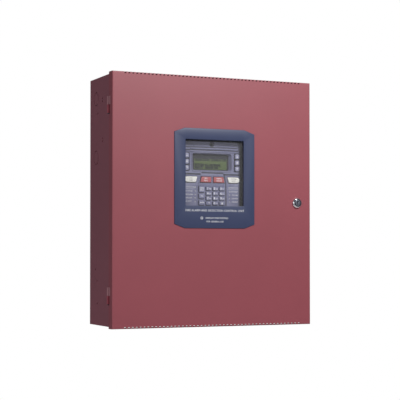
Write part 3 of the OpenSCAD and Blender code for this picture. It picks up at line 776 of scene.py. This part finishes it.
def makeKey(name):
    low, high = capBox(name)
    front = low.y
    x, z = (low.x + high.x) / 2, (low.z + high.z) / 2
    mesh = bmesh.new()
    addPlate(mesh, keyOutline(name), [], front, high.y, 0.0006, 3)
    flange = front + keys["rise"] + keys["flangeBack"]
    addPlate(mesh, keyOutline(name, keys["flangeGrow"]), [], flange, flange + keys["flangeThick"], 0.0)
    finish, ink = "key_grey_plastic", whiteInk
    if name in legends:
        big, small = legends[name]
        if small:
            addText(mesh, big, x - 0.0026, z, front, 0.0062, bold=0.00012)
            addText(mesh, small, x + 0.0024, z - 0.0006, front, 0.0034)
        else:
            addText(mesh, big, x, z - (0.0012 if big == "*" else 0), front, 0.0066, bold=0.00012)
    elif name in tallLegends:
        lines = [t for t in tallLegends[name] if t]
        for i, line in enumerate(lines):
            addText(mesh, line, x, z + (0.0018 if len(lines) == 2 else 0) - 0.0036 * i, front, 0.0031,
                    bold=0.00005)
    elif name in longLegends:
        finish = frameSlot(name)
        ink = whiteInk if finish == "key_red_plastic" else greyInk
        for i, line in enumerate(longLegends[name]):
            addText(mesh, line, x, z + 0.0021 - 0.0042 * i, front, 0.0034, bold=0.00003)
    else:
        ink = softInk
        drawArrow(mesh, name, x, z, front)
    cap = sideCap if name in sideKeys else finishes[finish]
    keepPiece(mesh, camel(name), finish, [name], body=name, materials=[cap, ink])


def camel(name):
    first, *rest = name.split("_")
    return first + "".join(w.capitalize() for w in rest)


def frameSlot(node):
    return next(r["material_slot"] for r in frame["record"]["subparts"] if r["node"] == node)


def drawArrow(mesh, name, x, z, front):
    # up and down arrows on the outer keys of each side group, a small square on the middle one
    size = 0.0021
    if name.endswith("mid"):
        outline = [(x - size, z - size), (x + size, z - size), (x + size, z + size), (x - size, z + size)]
    else:
        way = 1 if name.endswith("up") else -1
        lean = 0.0006 if "left" in name else -0.0006
        outline = [(x - size * 1.2, z - way * size), (x + size * 1.2, z - way * size),
                   (x + lean, z + way * size)]
    paintNew(mesh, 1, lambda: addPlate(mesh, outline, [], front - printLift, front + 0.0002, 0.0))


def recessPlace():
    # the box of the recess round the display: x0, z0, x1, z1
    low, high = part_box("lcd_glass")
    middle = (low.x + high.x) / 2
    half, below, above = cover["recess"]
    return middle - half, low.z - below, middle + half, high.z + above


def makeCover():
    low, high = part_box("display_cover")
    x0, z0, x1, z1 = recessPlace()
    middle = (x0 + x1) / 2
    front = coverFront()
    stepY = front + cover["stepBack"]
    webY = stepY + cover["sheet"]
    screwZ = high.z - cover["screwDrop"]
    recess = roundCorners(x0, z0, x1, z1, cover["recessRadius"])
    lampHoles = [ringPoints(x, z, cover["lampHole"], 12) for x, z in lampSpots]
    padWells = [wellOutline(n) for n in list(legends) + list(tallLegends)]
    mesh = bmesh.new()
    # the front face, notched at the side keys
    face = sideNotched(high.x - cover["faceInset"], low.z, high.z)
    holes = [recess, *padWells, *[wellOutline(n) for n in longKeys], *lampHoles,
             ringPoints(middle, screwZ, cover["screwWell"], 24)]
    addPlate(mesh, face, holes, front, stepY, cover["edge"], 2)
    # the step round the face, with its own holes for the side keys
    outside = roundCorners(low.x, low.z, high.x, high.z, cover["cornerRadius"])
    behind = [recess, *[wellOutline(n) for n in plainKeys], *lampHoles,
              ringPoints(middle, screwZ, cover["screwHole"], 16)]
    addPlate(mesh, outside, behind, stepY, webY, 0.0006, 2)
    wall = cover["wall"]
    inside = roundCorners(low.x + wall, low.z + wall, high.x - wall, high.z - wall, 0.0024)
    addPlate(mesh, outside, [inside], webY, high.y, 0.0)
    # sloping lining of the recess, down to the display
    lining = bmesh.new()
    inset = cover["recessInset"]
    mouth = [lining.verts.new((x, front + 0.0004, z)) for x, z in recess]
    throat = [lining.verts.new((x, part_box("lcd_frame")[0].y, z)) for x, z in
              roundCorners(x0 + inset, z0 + inset * 0.5, x1 - inset, z1 - inset * 0.4, 0.003)]
    for ring in (mouth, throat):
        for i in range(len(ring)):
            lining.edges.new((ring[i], ring[(i + 1) % len(ring)]))
    bmesh.ops.bridge_loops(lining, edges=list(lining.edges))
    bmesh.ops.solidify(lining, geom=list(lining.faces), thickness=-0.0006)
    bmesh.ops.recalc_face_normals(lining, faces=lining.faces)
    pour(mesh, lining)
    # ridges across the top
    for z, height, half, start in cover["ridges"]:
        for left, right in [(start, half), (-half, -start)] if start else [(-half, half)]:
            addBlock(mesh, (middle + left, front - cover["ridgeRise"], z),
                     (middle + right, front + 0.0005, z + height), 0.0006, 3)
    # raised edge round the recess
    rim = cover["rimWidth"]
    addPlate(mesh, roundCorners(x0 - rim, z0 - rim, x1 + rim, z1 + rim, 0.0062), [recess],
             front - 0.0007, front + 0.0004, 0.0003, 2)
    # raised block that carries the keypad
    top, base = cover["keypadTop"], low.z + cover["keypadBase"]
    tab = [(-0.0330, base), (0.0296, base), (0.0290, 0.037), (0.0243, top), (-0.0238, top),
           (-0.0295, 0.036)]
    addPlate(mesh, tab, padWells + [wellOutline("key_drill"), wellOutline("key_silence")],
             front - 0.0006, front + 0.0002, 0.0004, 2)
    keepPiece(mesh, "displayCover", "cover_plastic", ["display_cover"], smooth=30)


def makePaintedShadowLines():
    # painted shadow in dark ink: lines under the display, across the top between the ridges, beside the
    # side keys and beside the keypad, where raised edges cast shade
    low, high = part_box("display_cover")
    x0, _, x1, _ = recessPlace()
    middle = (x0 + x1) / 2
    front, thin = coverFront(), cover["shadowLineDepth"]
    stepY = front + cover["stepBack"]
    top, base = cover["keypadTop"], low.z + cover["keypadBase"]
    screwZ = high.z - cover["screwDrop"]
    _, notchLow, notchHigh = cover["notch"]
    blocks = [(low.x + 0.002, -0.0240, 0.0528, 0.0553), (0.0262, high.x - 0.002, 0.0528, 0.0553),
              (-0.0560, 0.0560, 0.1060, 0.1077), (-0.0560, 0.0560, 0.1006, 0.1023)]
    besideKeypad = [(0.0297, base), (0.0318, base), (0.0312, 0.037), (0.0268, top), (0.0246, top),
                    (0.0291, 0.037)]
    corner = [(0.0585, 0.1165), (0.0575, 0.1165), (0.0575, 0.1040), (0.0545, 0.0990),
              (0.0552, 0.0985), (0.0585, 0.1035)]
    lines = bmesh.new()
    for left, right, lower, upper in blocks:
        addBlock(lines, (left, front - thin, lower), (right, front + thin, upper))
    # painted shadow of the display block along the keypad tab's top edge
    addBlock(lines, (-0.0225, front - 0.0008, 0.0556), (0.0243, front, 0.0578))
    for left, right in ((0.0478, 0.0600), (-0.0600, -0.0478)):
        addBlock(lines, (left, stepY - 0.0003, notchLow), (right, stepY + thin, notchHigh))
    for outline in (besideKeypad, corner, [(-x, z) for x, z in corner]):
        addPlate(lines, outline, [], front - thin, front + thin)
    # shaded recess round the top screw
    addPlate(lines, ringPoints(middle, screwZ, 0.0052, 28), [ringPoints(middle, screwZ, 0.0040, 24)],
             front - thin, front + thin)
    keepPiece(lines, "coverPaintedShadowLines", "cover_plastic", materials=[darkInk])


def sideNotched(x1, z0, z1):
    # the face's outline, with cut corners and a notch on each side where the side keys sit
    r = 0.0015
    reach, low, high = cover["notch"]
    right = [(x1, z1 - 0.006), (x1, high), (reach + r, high), (reach, high - r), (reach, low + r),
             (reach + r, low), (x1, low), (x1, z0 + 0.003), (x1 - 0.003, z0)]
    left = [(-x, z) for x, z in reversed(right)]
    return [(x1 - 0.006, z1)] + right + left + [(-(x1 - 0.006), z1)]


lamps = {"rows": 5, "radius": 0.0012}


def lampPlaces():
    low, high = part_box("status_lamps")
    rows, radius = lamps["rows"], lamps["radius"]
    return [(x, low.z + radius + i * (high.z - low.z - 2 * radius) / (rows - 1))
            for x in (low.x + radius, high.x - radius) for i in range(rows)]


def makeLamps():
    mesh = bmesh.new()
    low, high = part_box("status_lamps")
    for x, z in lampSpots:
        addRod(mesh, x, z, lamps["radius"], low.y, high.y, 0.0005, 16)
    keepPiece(mesh, "statusLamps", "lamp_plastic", ["status_lamps"])


labels = {
    "left": ["SYSTEM STATUS", "AC POWER", "FIRE ALARM", "PREALARM", "SECURITY"],
    "right": ["SYSTEM STATUS", "SUPERVISORY", "TROUBLE", "SILENCED", "DISABLED"],
    "height": 0.0035,
    "rows": [0.0282, 0.0204, 0.0137, 0.0071, 0.0004],
    "edge": 0.0575,
}


def makeLabels():
    mesh = bmesh.new()
    front, height, edge = coverFront(), labels["height"], labels["edge"]
    for z, left, right in zip(labels["rows"], labels["left"], labels["right"]):
        addText(mesh, left, -edge, z, front, height, "LEFT", 0, 0.00005, 0.9)
        addText(mesh, right, edge, z, front, height, "RIGHT", 0, 0.00005, 0.9)
    # underlines of the two headings
    for x0, x1 in ((-edge, -0.0375), (0.0335, edge)):
        addBlock(mesh, (x0, front - 0.0001, 0.0245), (x1, front + 0.0001, 0.0249))
    keepPiece(mesh, "statusLabels", "cover_plastic", materials=[softInk])


display = {
    # each line of characters: words and drop from the glass's top edge
    "lines": [("10:24A MON  ZONE 01 OK", 0.0056), ("SYSTEM ALL NORMAL", 0.0160),
              ("READY   MAINS ON", 0.0212)],
    "height": 0.0062,
    "margin": 0.0022,
    "borderAndShadow": (0.0034, 0.0012, 0.0008),     # above, below and beside the viewing area; the band above is wider, as painted shadow from the recess's upper wall
}


def makeDisplay():
    low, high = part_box("lcd_glass")
    mesh = bmesh.new()
    addBlock(mesh, low, high, 0.0002)
    for words, drop in display["lines"]:
        addText(mesh, words, low.x + display["margin"], high.z - drop, low.y, display["height"], "LEFT", 1,
                0.0005, 0.92, 0.0001)
    # dark border printed round the viewing area, its band along the top made wider as painted shadow from
    # the recess's upper wall
    topBorderAndShadow, rimLow, side = display["borderAndShadow"]
    borderAndShadow = bmesh.new()
    addPlate(borderAndShadow, [(low.x, low.z), (high.x, low.z), (high.x, high.z), (low.x, high.z)],
             [[(low.x + side, low.z + rimLow), (high.x - side, low.z + rimLow),
               (high.x - side, high.z - topBorderAndShadow), (low.x + side, high.z - topBorderAndShadow)]],
             low.y - 0.0002, low.y + 0.0001)
    keepPiece(borderAndShadow, "displayBorderAndShadow", "lcd_green", materials=[darkInk])
    keepPiece(mesh, "liquidCrystalGlass", "lcd_green", ["lcd_glass"],
              materials=[finishes["lcd_green"], darkGlass])


lampSpots = lampPlaces()
darkGlass = printed("displayCharacters", (0.006, 0.009, 0.007))
makeCover()
makePaintedShadowLines()
makeLamps()
for key in plainKeys:
    makeKey(key)
makeLabels()
makeDisplay()
report("display unit made")


lock = {
    "steps": 64,
    "clearance": 0.00006,
    "barrelInset": 0.001,
    # the rim's profile from the door outwards: inset from the head's radius, height above the door
    "rim": [(0, 0), (0, 0.0014), (0.0004, 0.0020), (0.0013, 0.0036), (0.0022, 0.0043)],
    "mouthInset": 0.0030,
    "plugFront": 0.010,         # depth of the part of the plug that has the keyway
    "plugEdge": 0.0004,
    "tailRadius": 0.003,
    "gapShadeWidth": 0.0016,
}


def makeLock():
    low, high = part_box("lock_body")
    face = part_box("door")[0].y
    plugLow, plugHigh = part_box("lock_plug")
    x, z = (low.x + high.x) / 2, (low.z + high.z) / 2
    head = (high.x - low.x) / 2
    barrel = head - lock["barrelInset"]
    radius = (plugHigh.x - plugLow.x) / 2
    bore = radius + lock["clearance"]
    mesh = bmesh.new()
    rim = [(head - inset, face - rise) for inset, rise in lock["rim"]]
    addLathe(mesh, [(bore, high.y), (barrel, high.y), (barrel, face), *rim,
                    (head - lock["mouthInset"], low.y), (bore + 0.0006, low.y),
                    (bore, low.y + 0.0004), (bore, high.y)], x, z, lock["steps"])
    keepPiece(mesh, "lockBody", "chrome_plate", ["lock_body"], body="door")
    # plug with its keyway
    mesh = bmesh.new()
    keyway = [(x - 0.0007, z - 0.004), (x + 0.0007, z - 0.004), (x + 0.0007, z + 0.0012),
              (x + 0.0013, z + 0.0016), (x + 0.0013, z + 0.004), (x - 0.0007, z + 0.004)]
    shoulder = plugLow.y + lock["plugFront"]
    addPlate(mesh, ringPoints(x, z, radius, 40), [keyway], plugLow.y, shoulder, lock["plugEdge"], 2)
    addRod(mesh, x, z, radius, shoulder, high.y + 0.0002, 0.0, 40)
    addRod(mesh, x, z, lock["tailRadius"], high.y, plugHigh.y, 0.0, 24)
    # the plug's darker chrome is painted shade inside the rim
    keepPiece(mesh, "lockPlug", "chrome_plate", ["lock_plug"], body="lock",
              materials=[shadedSatinChrome("plugChromeDarkenedAsShade")])
    # painted shade: a dark ring for the shaded gap between the rim and the plug
    mesh = bmesh.new()
    addPlate(mesh, ringPoints(x, z, bore + lock["gapShadeWidth"], 40), [ringPoints(x, z, bore, 40)],
             low.y - 0.00006, low.y + 0.0002)
    keepPiece(mesh, "plugGapShade", "chrome_plate", body="door", materials=[darkInk])
    # painted shade on the floor of the keyway
    mesh = bmesh.new()
    addBlock(mesh, (x - 0.0012, shoulder - 0.0020, z - 0.0039),
             (x + 0.0012, shoulder - 0.0002, z + 0.0039))
    keepPiece(mesh, "keywayShade", "chrome_plate", body="lock", materials=[darkInk])


makeLock()
report("lock made")


def islands(node):
    # the box of each separate solid in a node
    scratch = bmesh.new()
    scratch.from_mesh(nodes[node].data)
    bmesh.ops.remove_doubles(scratch, verts=scratch.verts, dist=1e-6)
    seen, found = set(), []
    for start in scratch.verts:
        if start in seen:
            continue
        group, queue = [], [start]
        seen.add(start)
        while queue:
            vert = queue.pop()
            group.append(vert.co.copy())
            for edge in vert.link_edges:
                other = edge.other_vert(vert)
                if other not in seen:
                    seen.add(other)
                    queue.append(other)
        found.append((Vector([min(p[i] for p in group) for i in range(3)]),
                      Vector([max(p[i] for p in group) for i in range(3)])))
    scratch.free()
    return found


chips = {"legPitch": 0.00127, "legWidth": 0.0005, "legReach": 0.0012, "legHeight": 0.0009,
         "squareWithin": 0.003}     # a package this near to square has legs on all four sides


def makeChips():
    bodies, legs, marks = bmesh.new(), bmesh.new(), bmesh.new()
    for low, high in islands("microchips"):
        addBlock(bodies, low, high, 0.0003, 2)
        board, half = high.y, chips["legWidth"] / 2
        square = abs((high.x - low.x) - (high.z - low.z)) < chips["squareWithin"]
        rows = [(low.x, high.x, low.z, high.z, False)]
        if square:
            rows.append((low.z, high.z, low.x, high.x, True))
        for a0, a1, b0, b1, turned in rows:
            count = int((a1 - a0 - 0.002) / chips["legPitch"])
            for i in range(count):
                a = (a0 + a1) / 2 + (i - (count - 1) / 2) * chips["legPitch"]
                for edge, out in ((b0, -1), (b1, 1)):
                    near, far = sorted((edge - out * 0.0001, edge + out * chips["legReach"]))
                    top = board - chips["legHeight"]
                    if turned:
                        addBlock(legs, (near, top, a - half), (far, board, a + half))
                    else:
                        addBlock(legs, (a - half, top, near), (a + half, board, far))
        addRod(marks, low.x + 0.002, high.z - 0.002, 0.0006, low.y - 0.00006, low.y + 0.0001, 0.0, 12)
    keepPiece(bodies, "microchips", "black_plastic", ["microchips"])
    keepPiece(legs, "chipLegs", "zinc_steel")
    keepPiece(marks, "chipDots", "black_plastic", materials=[greyInk])


capacitors = {"shoulder": 0.0007, "stripe": 0.4}        # the stripe is half as wide as the angle


def makeCapacitors():
    sleeves, tops, stripes = bmesh.new(), bmesh.new(), bmesh.new()
    for low, high in islands("capacitors"):
        x, z, r = (low.x + high.x) / 2, (low.z + high.z) / 2, (high.x - low.x) / 2
        top, board = low.y, high.y
        addLathe(sleeves, [(r - 0.0011, top + 0.0002), (r - 0.0004, top),
                           (r, top + capacitors["shoulder"]), (r, board - 0.0022),
                           (r - 0.0004, board - 0.0018), (r, board - 0.0014), (r, board),
                           (0.0001, board)], x, z, 40)
        addRod(tops, x, z, r - 0.0010, top + 0.0003, top + 0.0012, 0.0, 40)
        # pressed cross on the top
        for turn in (45, 135):
            bar = bmesh.new()
            addBlock(bar, (-r * 0.7, -0.0001, -0.00025), (r * 0.7, 0.0001, 0.00025))
            bmesh.ops.rotate(bar, verts=bar.verts, matrix=Matrix.Rotation(math.radians(turn), 3, "Y"))
            bmesh.ops.translate(bar, verts=bar.verts, vec=(x, top + 0.0003, z))
            pour(stripes, bar)
        sweep, turns = capacitors["stripe"], (-1, -0.5, 0, 0.5, 1)
        outer, inner = [[(x + reach * math.cos(a * sweep), z + reach * math.sin(a * sweep)) for a in turns]
                        for reach in (r + 0.00005, r - 0.0002)]
        addPlate(stripes, outer + inner[::-1], [], top + 0.002, board - 0.004)
    keepPiece(sleeves, "capacitorSleeves", "capacitor_sleeve", ["capacitors"])
    keepPiece(tops, "capacitorTops", "capacitor_sleeve", materials=[finishes["zinc_steel"]])
    keepPiece(stripes, "capacitorStripes", "capacitor_sleeve", materials=[greyInk])


terminals = {"perBlock": 8, "well": 0.0016, "screw": 0.00145, "slot": 0.00035, "sink": 0.0022}


def makeTerminals():
    bodies, screws, slotShade = bmesh.new(), bmesh.new(), bmesh.new()
    for low, high in islands("terminal_blocks"):
        pitch = (high.x - low.x) / terminals["perBlock"]
        z, half = (low.z + high.z) / 2, terminals["slot"] / 2
        sink = low.y + terminals["sink"]
        outline = [(low.x, low.z), (high.x, low.z), (high.x, high.z), (low.x, high.z)]
        spots = [low.x + (i + 0.5) * pitch for i in range(terminals["perBlock"])]
        wells = [ringPoints(x, z, terminals["well"], 16) for x in spots]
        addPlate(bodies, outline, wells, low.y, low.y + 0.004, 0.0004, 2)
        addBlock(bodies, (low.x, low.y + 0.0039, low.z), (high.x, high.y, high.z), 0.0)
        for i, x in enumerate(spots):
            addRod(screws, x, z, terminals["screw"], sink, low.y + 0.0039, 0.0003, 16)
            # painted shade: dark bars for the hollow slot in each screw head and for the grooves between
            # the poles
            addBlock(slotShade, (x - 0.0011, sink - 0.00005, z - half), (x + 0.0011, sink + 0.0001, z + half))
            if i:
                edge = low.x + i * pitch
                addBlock(slotShade, (edge - 0.00015, low.y - 0.00004, low.z + 0.0006),
                         (edge + 0.00015, low.y + 0.0001, high.z - 0.0006))
    keepPiece(bodies, "terminalBlocks", "terminal_plastic", ["terminal_blocks"])
    keepPiece(screws, "terminalScrews", "zinc_steel")
    keepPiece(slotShade, "terminalSlotShade", "terminal_plastic", materials=[darkInk])


# printed lines on a relay, as shares of its front: x0, x1, z0, z1
relayLines = [(0.15, 0.55, 0.70, 0.76), (0.15, 0.75, 0.50, 0.54), (0.15, 0.65, 0.34, 0.38)]


def makeRelays():
    bodies, marks = bmesh.new(), bmesh.new()
    for low, high in islands("relays"):
        addBlock(bodies, low, high, 0.0007, 3)
        addRod(bodies, high.x - 0.003, high.z - 0.003, 0.0008, low.y - 0.0003, low.y + 0.0002, 0.0001, 12)
        wide, tall = high.x - low.x, high.z - low.z
        for x0, x1, z0, z1 in relayLines:
            addBlock(marks, (low.x + x0 * wide, low.y - 0.00004, low.z + z0 * tall),
                     (low.x + x1 * wide, low.y + 0.0001, low.z + z1 * tall))
    keepPiece(bodies, "relays", "black_plastic", ["relays"])
    keepPiece(marks, "relayLines", "black_plastic", materials=[greyInk])


battery = {
    "caseHeight": 0.094,        # without the terminals
    "lidHeight": 0.012,
    "caps": 6,
    "tabInsets": (0.012, 0.018),
    "tabSize": (0.006, 0.0008, 0.006),
}


def makeBatteries():
    # two cases with painted shade along the lid seam, vent caps, tab terminals and a coloured collar round
    # each terminal
    cases, lines, tabs, collars = bmesh.new(), bmesh.new(), bmesh.new(), [bmesh.new(), bmesh.new()]
    for low, high in islands("batteries"):
        if high.x - low.x < 0.05:
            continue
        top = min(high.z, low.z + battery["caseHeight"])
        lid = top - battery["lidHeight"]
        addBlock(cases, low, (high.x, high.y, lid), 0.0025, 3)
        addBlock(cases, (low.x + 0.001, low.y + 0.001, lid - 0.0005),
                 (high.x - 0.001, high.y - 0.001, top), 0.002, 3)
        for i in range(battery["caps"]):
            x, y = low.x + (i + 0.5) * (high.x - low.x) / battery["caps"], (low.y + high.y) / 2
            addBlock(cases, (x - 0.008, y - 0.004, top - 0.0005), (x + 0.008, y + 0.006, top + 0.0008),
                     0.0006, 2)
        # painted shade in the seam under the lid
        addBlock(lines, (low.x + 0.0015, low.y - 0.00005, lid - 0.0007),
                 (high.x - 0.0015, low.y + 0.001, lid))
        left, right = battery["tabInsets"]
        wide, thick, tall = battery["tabSize"]
        for collar, x in zip(collars, (low.x + left, high.x - right)):
            y = low.y + 0.008
            addBlock(tabs, (x, y, top - 0.001), (x + wide, y + thick, top + tall))
            addBlock(collar, (x - 0.0015, y - 0.003, top - 0.0005),
                     (x + wide + 0.0015, y + 0.0038, top + 0.0012), 0.0004, 2)
    keepPiece(cases, "batteryCases", "battery_plastic", ["batteries"])
    keepPiece(lines, "batteryLidSeamShade", "battery_plastic", materials=[darkInk])
    keepPiece(tabs, "batteryTabs", "zinc_steel")
    for collar, name, finish in zip(collars, ("batteryCollarsRed", "batteryCollarsBlack"),
                                    ("key_red_plastic", "black_plastic")):
        keepPiece(collar, name, "battery_plastic", materials=[finishes[finish]])


smallParts = {
    "count": 190,
    "seed": 7,
    # each kind: length, width, height
    "kinds": [(0.0032, 0.0016, 0.0006), (0.0020, 0.00125, 0.0005), (0.0045, 0.0032, 0.0021)],
    "grid": 0.004,
    "margin": 0.006,            # from the board's edges
    "clear": 0.0035,            # from the middle of a small part to anything else
    "endCap": 0.0004,           # half the length of a soldered end
}


def makeSmallParts():
    # chip resistors and capacitors scattered over the free parts of the main board
    low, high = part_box("main_board")
    taken = [box for node in ("terminal_blocks", "capacitors", "relays", "heat_sink", "connectors",
                              "microchips", "sounder", "standoffs", "chassis_screws")
             for box in islands(node)]
    picks = random.Random(smallParts["seed"])
    grid, margin, clear, cap = [smallParts[name] for name in ("grid", "margin", "clear", "endCap")]
    dark, pale, ends = bmesh.new(), bmesh.new(), bmesh.new()
    made = 0
    while made < smallParts["count"]:
        length, width, rise = picks.choice(smallParts["kinds"])
        x = low.x + margin + round(picks.random() * (high.x - low.x - 2 * margin) / grid) * grid
        z = low.z + margin + round(picks.random() * (high.z - low.z - 2 * margin) / grid) * grid
        wide, tall = (length, width) if picks.random() < 0.5 else (width, length)
        if any(a.x - clear < x < b.x + clear and a.z - clear < z < b.z + clear for a, b in taken):
            continue
        taken.append((Vector((x, 0, z)), Vector((x, 0, z))))
        body = dark if picks.random() < 0.55 else pale
        front, back = low.y - rise, low.y + 0.0001
        halfX, halfZ = wide / 2, tall / 2
        addBlock(body, (x - halfX, front, z - halfZ), (x + halfX, back, z + halfZ), 0.0001, 1)
        for side in (-1, 1):
            if wide > tall:
                endX, endZ, reachX, reachZ = x + side * halfX, z, cap, halfZ
            else:
                endX, endZ, reachX, reachZ = x, z + side * halfZ, halfX, cap
            addBlock(ends, (endX - reachX, front - 0.00005, endZ - reachZ),
                     (endX + reachX, back, endZ + reachZ))
        made += 1
    keepPiece(dark, "chipResistors", "black_plastic")
    keepPiece(pale, "chipCapacitors", "ivory_plastic", materials=[finishes["winding_tape"]])
    keepPiece(ends, "solderEnds", "zinc_steel")


makeChips()
makeCapacitors()
makeTerminals()
makeRelays()
makeBatteries()
makeSmallParts()
report("small board parts made")
